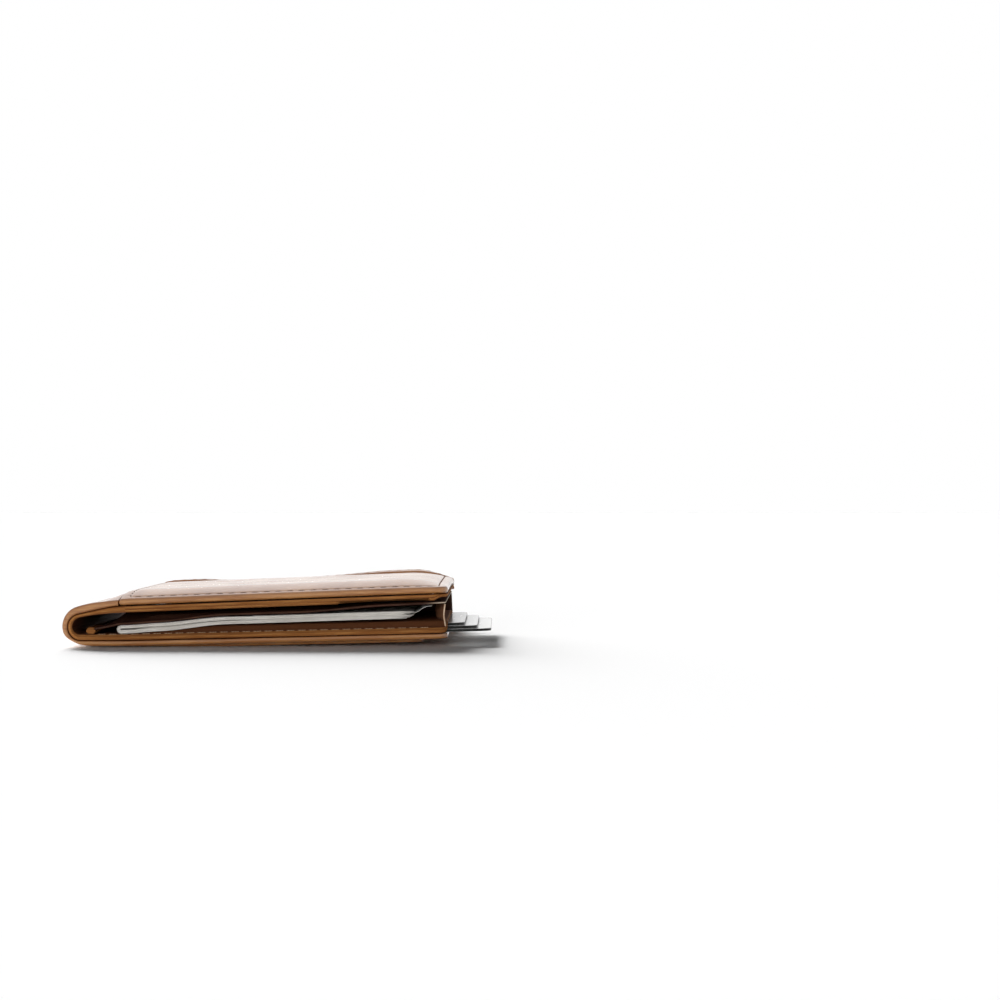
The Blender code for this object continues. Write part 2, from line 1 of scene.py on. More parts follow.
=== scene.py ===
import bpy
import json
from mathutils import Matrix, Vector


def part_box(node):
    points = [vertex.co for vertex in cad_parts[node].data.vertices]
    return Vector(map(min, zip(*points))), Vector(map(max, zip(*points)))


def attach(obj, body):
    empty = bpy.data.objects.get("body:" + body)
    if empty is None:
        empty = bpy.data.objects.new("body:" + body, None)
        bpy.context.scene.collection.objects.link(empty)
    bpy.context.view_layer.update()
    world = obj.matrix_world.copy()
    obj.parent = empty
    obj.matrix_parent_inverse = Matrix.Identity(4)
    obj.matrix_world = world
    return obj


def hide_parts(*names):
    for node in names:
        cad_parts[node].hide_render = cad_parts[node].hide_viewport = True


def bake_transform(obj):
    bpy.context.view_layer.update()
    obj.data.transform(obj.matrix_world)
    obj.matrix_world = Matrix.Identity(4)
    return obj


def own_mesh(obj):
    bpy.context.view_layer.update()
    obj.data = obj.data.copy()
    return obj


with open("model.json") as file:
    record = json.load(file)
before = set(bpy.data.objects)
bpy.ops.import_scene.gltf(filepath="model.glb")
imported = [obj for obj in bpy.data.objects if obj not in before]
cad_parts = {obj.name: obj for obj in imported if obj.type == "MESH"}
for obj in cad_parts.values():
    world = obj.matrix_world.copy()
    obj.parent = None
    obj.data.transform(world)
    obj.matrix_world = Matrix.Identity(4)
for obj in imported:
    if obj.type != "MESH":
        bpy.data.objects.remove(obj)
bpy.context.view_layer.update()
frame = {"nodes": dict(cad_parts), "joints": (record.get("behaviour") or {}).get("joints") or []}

import json
import math

import bpy
import numpy as np

mm = 0.001
joints = {joint["name"]: joint for joint in frame["joints"]}

# Thickness of each leather layer and the clearances between layers, as in the frame
leather = {"cover": 1.4 * mm, "skived": 0.7 * mm, "panel": 0.9 * mm, "hem": 1.6 * mm, "lining": 0.6 * mm,
           "upperLining": 0.85 * mm, "sleeve": 0.6 * mm, "gap": 0.2 * mm, "corner": 4.0 * mm}
contents = {"cardGap": 0.15 * mm, "cardThick": 0.76 * mm, "cardWidth": 54.0 * mm, "cardLength": 85.6 * mm,
            "cardCorner": 3.2 * mm, "cards": 3, "bundle": 2.3 * mm, "noteHeight": 67.0 * mm, "noteRun": 82.4 * mm}
layout = {"foldRun": 17.0 * mm, "lowerFlat": 9.0 * mm, "lowerEase": 6.0 * mm, "hairpin": 15.0 * mm,
          "sleeveStart": 7.5 * mm, "noteRise": 0.9 * mm, "sleeveRise": 1.4 * mm, "ramp": 9.0 * mm,
          "leastOverhang": 4.7 * mm, "noteNear": 2.0 * mm, "cardNear": 6.0 * mm, "slotNear": 3.0 * mm,
          "slotEnd": 4.4 * mm, "seam": 2.0 * mm, "pocketSide": 5.0 * mm, "sleeveBorder": 4.0 * mm}

# Outline and fold, read from the frame: the hinge lies on the fold's outer arc, a quarter of the way round it
coverLow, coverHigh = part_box("lower_cover")
left, right, near, far, tableGap = -coverHigh.x, coverHigh.x, coverLow.y, coverHigh.y, coverLow.z
hingeX = joints["lower_fold"]["pos_m"][0] - left
hingeZ = joints["lower_fold"]["pos_m"][2] - tableGap
spineRadius = hingeX + hingeZ + math.sqrt(2 * hingeX * hingeZ)
foldAngle = 4 * math.atan2(spineRadius - hingeX, spineRadius - hingeZ)
lowerTilt = math.atan2(joints["bottom_card_slide"]["axis"][2], joints["bottom_card_slide"]["axis"][0])
slotPlaces = np.array([vertex.co for vertex in frame["nodes"]["slot_card"].data.vertices])
upperTilt = math.atan(np.polyfit(slotPlaces[:, 0], slotPlaces[:, 2], 1)[0])
flare = math.pi - foldAngle
easeReach = layout["foldRun"] - spineRadius * (1 - math.sin(flare))
upperEase = easeReach / (math.sin(flare) - math.sin(upperTilt)) * (flare - upperTilt)
foldLength = spineRadius * foldAngle
upperStraight = foldLength + upperEase
upperEnd = upperStraight + (right - left - layout["foldRun"]) / math.cos(upperTilt)
easedRun = layout["lowerFlat"] + layout["lowerEase"] * math.sin(lowerTilt) / lowerTilt
lowerEnd = (layout["lowerFlat"] + layout["lowerEase"]
            + (right - left - spineRadius - easedRun) / math.cos(lowerTilt))
hairpin = layout["hairpin"] - spineRadius
sleeveStart = layout["sleeveStart"] - spineRadius
cardStart = lowerEnd - contents["cardLength"] + layout["leastOverhang"] - contents["cardGap"]
pocketRise = contents["cardGap"] + contents["cards"] * (contents["cardThick"] + contents["cardGap"])
slotRise = contents["cardThick"] + 2 * contents["cardGap"]
noteFar = near + layout["noteNear"] + contents["noteHeight"]
print("fold radius %.3f mm, upper slope %.2f degrees" % (spineRadius / mm, math.degrees(upperTilt)))


# Weighted step between two numbers
def mix(a, b, share):
    return a + (b - a) * share


# Smooth step from 0 at start to 1 at end, also downwards
def ease(start, end, value):
    share = np.clip((value - start) / (end - start), 0, 1)
    return share * share * (3 - 2 * share)


# Route of lines and arcs: each run turns evenly by its angle over its length, for a whole array of distances
def walk(x, z, heading, runs, distance):
    x, z, heading = x + 0 * distance, z + 0 * distance, heading + 0 * distance
    for length, turn in runs:
        step = np.minimum(distance, length)
        if turn:
            radius = length / turn
            x = x + radius * (np.sin(heading + step / radius) - np.sin(heading))
            z = z - radius * (np.cos(heading + step / radius) - np.cos(heading))
            heading = heading + step / radius
        else:
            x, z = x + step * np.cos(heading), z + step * np.sin(heading)
        distance = distance - step
    return x, z, heading


# The lower half's route: flat on the table, then easing up to its slope
lowerRuns = ((layout["lowerFlat"], 0), (layout["lowerEase"], lowerTilt), (1.0, 0))


# Point of the leather: p runs along its outer face from the lower free end (negative) through the bottom of the
# fold (zero) to the upper free end, and the point lies at a depth inside that face, along its normal
def leatherPoint(p, y, depth):
    upperRuns = ((foldLength, -foldAngle), (upperEase, upperTilt - flare), (1.0, 0))
    lowX, lowZ, lowTurn = walk(left + spineRadius, tableGap, 0.0, lowerRuns, np.maximum(-p, 0))
    topX, topZ, topTurn = walk(left + spineRadius, tableGap, math.pi, upperRuns, np.maximum(p, 0))
    x = np.where(p > 0, topX + depth * np.sin(topTurn), lowX - depth * np.sin(lowTurn))
    z = np.where(p > 0, topZ - depth * np.cos(topTurn), lowZ + depth * np.cos(lowTurn))
    return np.stack([x, y + 0 * x, z], axis=-1)


# Point of the lower half, with t from the bottom of the fold to the free end
def lowerPoint(t, y, depth):
    return leatherPoint(-t, y, depth)


# Stations from runs of (start, end, count), each count spread evenly and the last end kept
def stations(*runs):
    parts = [np.linspace(start, end, count, endpoint=False) for start, end, count in runs]
    return np.concatenate(parts + [np.array([runs[-1][1]])])


# Shares of a width, closer together near both edges: u - k sin(2 pi u) / 2 pi
def widthShares(count, k=0.72):
    u = np.linspace(0, 1, count)
    return u - k * np.sin(2 * math.pi * u) / (2 * math.pi)


# Loop round a section: share of the width, reach past it at each rim and share of the half thickness
def sectionLoop(across, steps):
    angle = (np.arange(steps) + 0.5) / steps * math.pi / 2
    wide = np.concatenate([np.zeros(steps), across, np.ones(steps)])
    reach = np.concatenate([-np.cos(angle), 0 * across, np.cos(angle[::-1])])
    thick = np.concatenate([np.sin(angle), 0 * across + 1, np.sin(angle[::-1])])
    return (np.concatenate([wide, wide[::-1]]), np.concatenate([reach, reach[::-1]]),
            np.concatenate([thick, -thick[::-1]]))


# How far a corner of the given radius draws an edge in, at a distance from the end
def cornerCut(distance, radius):
    over = np.clip(radius - distance, 0, radius)
    return radius - np.sqrt(np.maximum(radius * radius - over * over, 0))


# A finished mesh from arrays of points and faces, turned outwards by the sign of its volume
def newPiece(name, points, faces, values, finish):
    points = points.reshape(-1, 3)
    a, b, c, d = (points[faces[:, k]] for k in range(4))
    volume = np.einsum("ij,ij->", a, np.cross(b, c)) + np.einsum("ij,ij->", a, np.cross(c, d))
    faces = faces[:, ::-1] if volume < 0 else faces
    mesh = bpy.data.meshes.new(name)
    mesh.from_pydata(points.tolist(), [], faces.tolist())
    mesh.shade_smooth()
    rest = mesh.attributes.new("rest", "FLOAT_VECTOR", "POINT")
    rest.data.foreach_set("vector", points.astype(np.float32).ravel())
    for label, value in values.items():
        attribute = mesh.attributes.new(label, "FLOAT", "POINT")
        attribute.data.foreach_set("value", np.broadcast_to(value, len(points)).astype(np.float32))
    mesh.materials.append(finish)
    piece = bpy.data.objects.new(name, mesh)
    bpy.context.scene.collection.objects.link(piece)
    return piece


# One closed sheet: rows along it, a rounded loop round each row, ends that close on half circles.
# edges gives the near and far edge of a row, faces the depth of both faces, place the point in space.
def skin(name, rows, rim, edges, faces, place, finish, count=90, rounds=(True, True), steps=4):
    wide, reach, thick = sectionLoop(widthShares(count), steps)
    turn = np.linspace(math.pi / 2, 0, 6)
    start, end = rows[0], rows[-1]
    inside = rows[(rows > start + rim * rounds[0]) & (rows < end - rim * rounds[1])]
    head = start + rim * (1 - np.sin(turn)) if rounds[0] else np.array([start])
    tail = (end - rim * (1 - np.sin(turn)))[::-1] if rounds[1] else np.array([end])
    fall = np.maximum(np.cos(turn), 0.06)
    full = np.concatenate([fall if rounds[0] else np.ones(1), 0 * inside + 1,
                           fall[::-1] if rounds[1] else np.ones(1)])[:, None]
    u = np.concatenate([head, inside, tail])[:, None]
    nearEdge, farEdge = edges(u)
    y = nearEdge + rim + wide * (farEdge - nearEdge - 2 * rim) + reach * rim
    low, high = faces(u + 0 * y, y)
    depth = (low + high) / 2 - (high - low) / 2 * thick * full
    points = place(u + 0 * y, y, depth)
    rowCount, loop = y.shape
    grid = np.arange(rowCount * loop).reshape(rowCount, loop)
    after = np.roll(grid, -1, axis=1)
    sides = np.stack([grid[:-1], after[:-1], after[1:], grid[1:]], axis=-1).reshape(-1, 4)
    half = np.arange(loop // 2 - 1)
    caps = [np.stack([row[half], row[loop - 1 - half], row[loop - 2 - half], row[half + 1]], axis=-1)
            for row in (grid[0], grid[-1][::-1])]
    values = {"rim": (1 - np.abs(thick * full)).ravel(), "side": (thick * full).ravel(),
              "along": (u + 0 * y).ravel(), "across": y.ravel()}
    return newPiece(name, points, np.concatenate([sides, *caps]), values, finish)


# A socket of a shader tree: the usual signs between sockets and numbers add Math nodes
class Socket:
    def __init__(self, tree, out):
        self.tree, self.out = tree, out

    def make(self, kind, settings, inputs, output=0):
        node = self.tree.nodes.new(kind)
        for label, value in settings.items():
            setattr(node, label, value)
        for label, value in inputs.items():
            if isinstance(value, Socket):
                self.tree.links.new(value.out, node.inputs[label])
            else:
                node.inputs[label].default_value = value
        return Socket(self.tree, node.outputs[output])

    def math(self, operation, first, second):
        return self.make("ShaderNodeMath", {"operation": operation}, {0: first, 1: second})

    def __add__(self, other):
        return self.math("ADD", self, other)

    def __sub__(self, other):
        return self.math("SUBTRACT", self, other)

    def __rsub__(self, other):
        return self.math("SUBTRACT", other, self)

    def __mul__(self, other):
        return self.math("MULTIPLY", self, other)

    # Smooth step of this value from one number to another
    def step(self, start, end):
        return self.make("ShaderNodeMapRange", {"interpolation_type": "SMOOTHSTEP"},
                         {"Value": self, "From Min": start, "From Max": end})

    # Colour a at 0 and colour b at 1
    def blend(self, a, b):
        return self.make("ShaderNodeMix", {"data_type": "RGBA"}, {0: self, 6: a, 7: b}, 2)

    def stretch(self, x, y, z):
        return self.make("ShaderNodeVectorMath", {"operation": "MULTIPLY"}, {0: self, 1: (x, y, z)})

    def noise(self, scale, detail=3.0, rough=0.55):
        return self.make("ShaderNodeTexNoise", {}, {"Vector": self, "Scale": scale, "Detail": detail,
                                                    "Roughness": rough})

    def cells(self, scale, feature="F1"):
        return self.make("ShaderNodeTexVoronoi", {"feature": feature}, {"Vector": self, "Scale": scale})

    def attribute(self, label, output):
        return self.make("ShaderNodeAttribute", {"attribute_name": label}, {}, output)


# Linear colour from the usual 0 to 255 numbers
def colour(r, g, b):
    shares = np.array([r, g, b]) / 255
    linear = np.where(shares < 0.04045, shares / 12.92, ((shares + 0.055) / 1.055) ** 2.4)
    return (*linear.tolist(), 1.0)


# A new material: its principled shader, and a socket to start from, which carries the place at rest
def newMaterial(name, constants):
    made = bpy.data.materials.new(name)
    made.use_nodes = True
    shader = made.node_tree.nodes["Principled BSDF"]
    for label, value in constants.items():
        shader.inputs[label].default_value = value
    place = Socket(made.node_tree, None).attribute("rest", 1)
    return made, shader, place


# Links the varying inputs of a shader, with the height as a bump of the given depth
def finishShader(shader, place, varying, height, strength, depth):
    bump = place.make("ShaderNodeBump", {}, {"Height": height, "Strength": strength, "Distance": depth})
    for label, socket in {**varying, "Normal": bump}.items():
        place.tree.links.new(socket.out, shader.inputs[label])


# Grained leather: cells of pores over fine and broad noise, darker in the pores, rubbed lighter in broad patches;
# the cut or turned edge takes its own colour with streaks along it, can turn pale towards the free end as a painted
# highlight over the raw cut edge, and can take painted shade on its half towards the inner face
def leatherMaterial(name, look):
    made, shader, place = newMaterial(name, {"Specular IOR Level": look["specular"], "Coat Roughness": 0.13,
                                             "IOR": 1.5})
    rim = place.attribute("rim", 2)
    broad = place.noise(look["broad"], 3.0)
    fine = place.noise(look["fine"], 4.0, 0.6)
    pores = place.cells(look["pores"])
    creases = place.stretch(1.0, 0.55, 1.0).cells(look["pores"] * 0.32, "DISTANCE_TO_EDGE")
    streaks = place.stretch(0.22, 1.0, 2.6).noise(look["streaks"], 3.0)
    body = broad.step(0.36, 0.66).blend(look["dark"], look["base"])
    rubbed = (fine.step(0.48, 0.8) * broad.step(0.45, 0.7) * look["rub"]).blend(body, look["light"])
    grained = (pores.step(0.18, 0.52) * 0.28).blend(rubbed, look["dark"])
    edge = streaks.step(0.35, 0.68).blend(look["edgeDark"], look["edge"])
    # Painted highlight: the edge turns pale towards the free end, over the raw cut edge's own lighter colour
    pale = place.attribute("along", 2).step(look["paleFrom"], look["paleFrom"] + 9 * mm)
    edge = pale.blend(edge, look["pale"])
    side = place.attribute("side", 2)
    inside = side.step(-0.95, -1.0).blend(grained, look["inside"])
    # Painted shade: the edge darkens on its half towards the inner face
    paintedShadeEdge = (side.step(0.1, -0.9) * look["paintedShadeShare"]).blend(edge, look["paintedShadeTint"])
    tint = rim.step(0.25, 0.7).blend(inside, paintedShadeEdge)
    gloss = fine * 0.16 + broad * 0.1 + rim * 0.12 + (look["rough"] - 0.13)
    height = creases.step(0.0, 0.16) * 0.5 - pores * 0.35 + fine * 0.55 + streaks * rim * 0.6
    coat = (broad.step(0.3, 0.7) * 0.2 + 0.8) * look["coat"]
    finishShader(shader, place, {"Base Color": tint, "Roughness": gloss, "Coat Weight": coat}, height,
                 look["bump"], 0.12 * mm)
    return made


# Paper: fibres from stretched noise, a faint cloud of grey, darker at the cut edges
def paperMaterial(name, look):
    made, shader, place = newMaterial(name, {"Specular IOR Level": 0.25})
    rim = place.attribute("rim", 2)
    cloud = place.noise(160.0, 3.0)
    fibres = place.stretch(0.3, 1.0, 1.0).noise(2600.0, 3.0)
    layers = place.stretch(0.05, 0.05, 1.0).noise(5200.0, 2.0)
    sheet = cloud.step(0.3, 0.7).blend(look["shade"], look["base"])
    flecked = (fibres.step(0.6, 0.8) * 0.3).blend(sheet, look["fibre"])
    edge = layers.step(0.4, 0.62).blend(look["edge"], look["base"])
    tint = rim.step(0.3, 0.8).blend(flecked, edge)
    finishShader(shader, place, {"Base Color": tint, "Roughness": fibres * 0.2 + 0.62}, fibres + cloud * 0.6,
                 0.3, 0.05 * mm)
    return made


# Card plastic: satin faces with a faint print of fine diagonal lines, a core of another colour at the edge
def cardMaterial(name, look):
    made, shader, place = newMaterial(name, {"Specular IOR Level": 0.3, "Coat Roughness": 0.08, "IOR": 1.52})
    rim = place.attribute("rim", 2)
    cloud = place.noise(60.0, 2.0)
    specks = place.noise(3800.0, 2.0)
    lines = place.make("ShaderNodeTexWave", {"wave_type": "BANDS", "bands_direction": "DIAGONAL"},
                       {"Vector": place.stretch(1.0, 1.0, 0.0), "Scale": 260.0, "Distortion": 1.2,
                        "Detail": 1.0, "Detail Scale": 0.4}, 1)
    face = (lines.step(0.45, 0.6) * look["print"]).blend(look["base"], look["lines"])
    clouded = (cloud.step(0.4, 0.7) * 0.12).blend(face, look["lines"])
    side = rim.step(0.02, 0.14)
    tint = side.blend(clouded, look["core"])
    scuffs = place.stretch(1.0, 0.12, 1.0).noise(900.0, 4.0)
    gloss = scuffs.step(0.55, 0.8) * 0.18 + rim * 0.2 + look["rough"]
    finishShader(shader, place, {"Base Color": tint, "Roughness": gloss, "Coat Weight": 0.35 - side * 0.35},
                 specks + scuffs * 0.4, 0.12, 0.02 * mm)
    return made


# Waxed thread: a twist that runs round each stitch, with painted shade in its grooves
def threadMaterial(name, look):
    made, shader, place = newMaterial(name, {"Specular IOR Level": 0.4})
    twist = place.attribute("twist", 2)
    wave = place.math("SINE", twist, 0.0) * 0.5 + 0.5
    fuzz = place.noise(4200.0, 3.0)
    # Painted shade: darker where the twist's wave sinks into the grooves
    tint = (wave.step(0.1, 0.7) * (fuzz * 0.5 + 0.6)).blend(look["dark"], look["base"])
    finishShader(shader, place, {"Base Color": tint, "Roughness": fuzz * 0.25 + 0.42}, wave + fuzz * 0.5, 0.6,
                 0.06 * mm)
    return made


# What most leathers share: no pale stretch of edge, which is painted highlight, and no painted shade on the edge's
# inner half
plainEdge = {"paleFrom": 1.0, "paintedShadeShare": 0.0, "paintedShadeTint": colour(60, 36, 22)}
tanLook = {
    **plainEdge, "base": colour(172, 116, 62), "dark": colour(142, 90, 46), "light": colour(200, 150, 96),
    "inside": colour(112, 66, 36), "edge": colour(184, 130, 74), "edgeDark": colour(152, 98, 50),
    "pale": colour(184, 130, 74), "broad": 55.0, "fine": 700.0, "pores": 1900.0, "streaks": 420.0,
    "rub": 0.6, "rough": 0.42, "specular": 0.5, "coat": 1.0, "bump": 0.25}
brownLook = {
    **plainEdge, "base": colour(72, 45, 34), "dark": colour(50, 31, 24), "light": colour(98, 64, 50),
    "inside": colour(60, 37, 28), "edge": colour(84, 58, 46), "edgeDark": colour(58, 39, 31),
    # The sleeve's cut edge turns pale cream near the free end: painted highlight over the raw edge
    "pale": colour(236, 218, 192), "paleFrom": 0.096, "broad": 70.0, "fine": 900.0, "pores": 2600.0,
    "streaks": 520.0, "rub": 0.4, "rough": 0.6, "specular": 0.08, "coat": 0.0, "bump": 0.4}
tan = leatherMaterial("tan_leather_skin", tanLook)
darkEdgeTan = leatherMaterial("tan_hem_skin", {
    **tanLook, "edge": colour(92, 62, 42), "edgeDark": colour(66, 44, 30), "pale": colour(92, 62, 42)})
# The lining's edge takes painted shade on its half towards the inner face, set by its last two entries
liningTan = leatherMaterial("tan_lining_skin", {
    **plainEdge, "base": colour(164, 110, 62), "dark": colour(134, 84, 46), "light": colour(190, 142, 98),
    "inside": colour(106, 66, 42), "edge": colour(174, 120, 68), "edgeDark": colour(144, 92, 48),
    "pale": colour(174, 120, 68), "broad": 60.0, "fine": 800.0, "pores": 2300.0, "streaks": 480.0,
    "rub": 0.4, "rough": 0.6, "specular": 0.05, "coat": 0.0, "bump": 0.45, "paintedShadeShare": 1.0,
    "paintedShadeTint": colour(66, 40, 24)})
brown = leatherMaterial("brown_leather_skin", brownLook)
# The gusset's copy of the sleeve leather is painted lighter, as painted light in the shaded end of the pocket; its
# cream cut edges are painted highlight over the raw edge
paintedLightGussetBrown = leatherMaterial("gusset_leather_painted_light", {
    **brownLook, "base": colour(150, 106, 78), "dark": colour(122, 84, 60), "light": colour(176, 130, 100),
    "inside": colour(84, 55, 42), "edge": colour(232, 212, 186), "edgeDark": colour(206, 178, 150),
    "pale": colour(232, 212, 186), "paleFrom": 1.0, "streaks": 900.0, "rub": 0.3, "rough": 0.7,
    "specular": 0.05})
paper = paperMaterial("note_paper", {
    "base": colour(242, 239, 233), "shade": colour(230, 226, 219), "fibre": colour(196, 192, 182),
    "edge": colour(222, 217, 210)})
whiteCard = cardMaterial("white_card_plastic", {
    "base": colour(248, 248, 247), "lines": colour(234, 235, 235), "core": colour(16, 17, 15), "print": 0.5,
    "rough": 0.22})
darkCard = cardMaterial("dark_card_plastic", {
    "base": colour(44, 47, 43), "lines": colour(56, 60, 54), "core": colour(34, 37, 33), "print": 0.5,
    "rough": 0.2})
darkThread = threadMaterial("dark_thread", {"base": colour(104, 66, 40), "dark": colour(58, 34, 20)})
tanThread = threadMaterial("tan_thread", {"base": colour(170, 120, 72), "dark": colour(128, 84, 48)})
paleThread = threadMaterial("pale_thread", {"base": colour(216, 184, 150), "dark": colour(150, 112, 80)})
print("materials made")


# Lower half, depth of each layer below the outer face; t runs from the bottom of the fold to the free end
def pocketShare(t, y):
    nearSide = near + layout["cardNear"] - contents["cardGap"]
    farSide = near + layout["cardNear"] + contents["cardWidth"] + contents["cardGap"]
    return (ease(cardStart - layout["ramp"], cardStart, t) * ease(near + layout["seam"], nearSide, y)
            * ease(farSide + layout["pocketSide"], farSide, y))


def liningFaces(t, y):
    share = pocketShare(t, y)
    low = leather["cover"] + mix(leather["gap"], pocketRise, share)
    return low, low + mix(leather["hem"], leather["lining"], share)


def noteBed(t):
    flat = leather["gap"] + leather["hem"]
    raised = pocketRise + leather["lining"]
    return leather["cover"] + mix(flat, raised, ease(cardStart - layout["ramp"], cardStart, t))


def climb(t):
    return np.maximum(0, (t - hairpin) / (lowerEnd - hairpin))


# The notes lie on the lining, and sag towards it at their edges beside the cards' ends
def bundleLow(t, y):
    sag = 0.8 * (noteBed(t) - liningFaces(t, y)[1]) * ease(41 * mm, 21 * mm, t)
    return noteBed(t) - sag + leather["gap"] + layout["noteRise"] * climb(t)


# The sleeve swells near the spine, in a hump that begins a little way in from the near edge
humpLook = {"height": 2.65 * mm, "start": 3 * mm, "full": 10 * mm, "fall": 12 * mm, "end": 24 * mm,
            "nearStart": 5 * mm, "nearFull": 18 * mm}


def sleeveFaces(t, y):
    sewn = liningFaces(t, y)[1] + leather["gap"]
    free = np.maximum(ease(near + 1 * mm, near + 14 * mm, y), ease(60 * mm, 85 * mm, t))
    over = bundleLow(t, y) + contents["bundle"] + leather["gap"] + layout["sleeveRise"] * climb(t) * free
    hump = (humpLook["height"] * ease(humpLook["start"], humpLook["full"], t)
            * ease(humpLook["end"], humpLook["fall"], t)
            * ease(near + humpLook["nearStart"], near + humpLook["nearFull"], y))
    rolled = sewn + 0.8 * mm * ease(hairpin + 6 * mm, sleeveStart, t)
    seam = far - layout["sleeveBorder"] - layout["seam"]
    up = np.clip((t - sleeveStart) / (hairpin + 1 * mm - sleeveStart), 0, 1)
    low = mix(rolled, over + hump, up * ease(seam, noteFar + leather["gap"], y))
    return low, low + leather["sleeve"]


panelStart = upperStraight - 1.0 * mm
panelFar = far - 5.0 * mm


# Upper half: the swelling of its outer face, as one less the square of the rest of the way in from each edge
def bulge(start, end, value):
    rest = 1 - np.clip((value - start) / (end - start), 0, 1)
    return 1 - rest * rest


crownLook = {"height": 2.2 * mm, "lead": 5 * mm, "spine": 5 * mm, "end": 14 * mm, "side": 17 * mm, "farShare": 0.78}


def crown(s, y):
    along = (bulge(panelStart - crownLook["lead"], panelStart + crownLook["spine"], s)
             * bulge(upperEnd, upperEnd - crownLook["end"], s))
    farFall = ease(panelFar - crownLook["side"], panelFar, y)
    across = bulge(near, near + crownLook["side"], y) * mix(1.0, crownLook["farShare"], farFall)
    return crownLook["height"] * along * across


# The far corner of the free end hangs, by the product of two squares
droopLook = {"fall": 1.8 * mm, "along": 12 * mm, "across": 22 * mm}


def droop(s, y):
    along = np.clip((s - upperEnd) / droopLook["along"] + 1, 0, 1)
    across = np.clip((y - far) / droopLook["across"] + 1, 0, 1)
    return droopLook["fall"] * along * along * across * across


def coverInner(s):
    return mix(leather["cover"], leather["skived"], ease(foldLength, upperStraight, s))


def slotShare(s, y):
    farSide = near + layout["slotNear"] + contents["cardWidth"] + contents["cardGap"]
    end = upperEnd - layout["slotEnd"] + contents["cardGap"]
    return (ease(farSide + layout["pocketSide"], farSide, y)
            * ease(end + layout["slotEnd"] - layout["seam"], end, s))


# Small waver of a hand-cut edge, always inwards
def waver(u, size, phase):
    wave = np.sin(u / (3.7 * mm) + phase) + 0.6 * np.sin(u / (1.3 * mm) + 2 * phase)
    return size * (1.6 + wave) / 3.2


# Covers: the outer leather in one run round the fold, in two pieces that meet in the middle of the spine
coverLook = {"rim": 0.55 * mm, "waver": 0.12 * mm, "turnIn": 2.9 * mm, "middle": foldLength / 2,
             "flush": 0.85 * mm, "pinch": 0.6 * mm}


def lowerEdges(u):
    cut = cornerCut(u + lowerEnd, leather["corner"])
    return near + cut + waver(u, coverLook["waver"], 0.4), far - cut - waver(u, coverLook["waver"], 2.0)


# The outer face is pressed in a little where the fold lifts off the table
def lowerCoverFaces(p, y):
    pinch = coverLook["pinch"] * ease(-3 * mm, 2.6 * mm, p) * ease(7.2 * mm, 2.6 * mm, p)
    return pinch, 0 * y + leather["cover"]


lowerCover = skin("lower_shell", stations((-lowerEnd, -lowerEnd + 6 * mm, 24), (-lowerEnd + 6 * mm, 0, 88),
                                          (0, coverLook["middle"], 26)),
                  coverLook["rim"], lowerEdges, lowerCoverFaces, leatherPoint, tan, rounds=(True, False))


# The front panel's turned edge wraps the upper cover, so the cover stops short of it
def upperCoverEdges(u):
    turned = coverLook["turnIn"] * ease(panelStart - 0.35 * mm, panelStart - 0.15 * mm, u)
    cut = cornerCut(upperEnd - coverLook["turnIn"] - u, leather["corner"])
    bed = (far - panelFar) * ease(panelStart - 0.35 * mm, panelStart - 0.15 * mm, u)
    return (near + turned + cut + waver(u, coverLook["waver"], 0.4),
            far - bed - cut - waver(u, coverLook["waver"], 2.0))


# Between the spine and the panel the cover fills out until it is level with the panel
def upperCoverFaces(s, y):
    flush = coverLook["flush"] * ease(coverLook["middle"], foldLength + 4 * mm, s)
    step = ease(panelStart - 0.12 * mm, panelStart - 0.32 * mm, s)
    shift = droop(s, y) - crown(s, y)
    return shift - flush * step, coverInner(s) + shift


upperCover = skin("upper_shell", stations((coverLook["middle"], foldLength, 26),
                                          (foldLength, panelStart - 1 * mm, 14),
                                          (panelStart - 1 * mm, panelStart + 1 * mm, 20),
                                          (panelStart + 1 * mm, upperEnd - coverLook["turnIn"], 70)),
                  0.34 * mm, upperCoverEdges, upperCoverFaces, leatherPoint, tan, rounds=(False, True))
spineMiddle = leatherPoint(np.array(coverLook["middle"]), 0.0, 0.0)
foldBottom = leatherPoint(np.array(0.0), 0.0, 0.0)
foldTop = leatherPoint(np.array(foldLength), 0.0, 0.0)


# Front panel: its edge is turned under as far as the cover's inner face, with a pressed groove for the stitches
panelLook = {"rim": 0.6 * mm, "hem": 2.6 * mm, "stitch": 2.5 * mm, "groove": 0.16 * mm, "grooveWidth": 0.5 * mm,
             "pitch": 3.3 * mm}


# Distance of a point of the panel from its three sewn edges, as a rounded rectangle that runs on past the far edge
def panelInset(s, y):
    radius = leather["corner"]
    acrossOff = near - y + radius
    alongOff = np.abs(s - (panelStart + upperEnd) / 2) - (upperEnd - panelStart) / 2 + radius
    outside = np.hypot(np.maximum(acrossOff, 0), np.maximum(alongOff, 0))
    return radius - outside - np.minimum(np.maximum(acrossOff, alongOff), 0)


def panelEdges(u):
    cut = cornerCut(upperEnd - u, leather["corner"])
    return near + cut + waver(u, 0.1 * mm, 1.1), panelFar - waver(u, 0.1 * mm, 2.6)


def panelFaces(s, y):
    swell = crown(s, y) - droop(s, y)
    fromGroove = (panelInset(s, y) - panelLook["stitch"]) / panelLook["grooveWidth"]
    groove = panelLook["groove"] * np.exp(-fromGroove ** 2)
    edge = np.minimum(y - near, upperEnd - s)
    turned = ease(panelLook["hem"] + 0.25 * mm, panelLook["hem"], edge)
    outer = -swell - leather["gap"] - leather["panel"] + groove
    return outer, mix(-leather["gap"], coverInner(s), turned) - swell


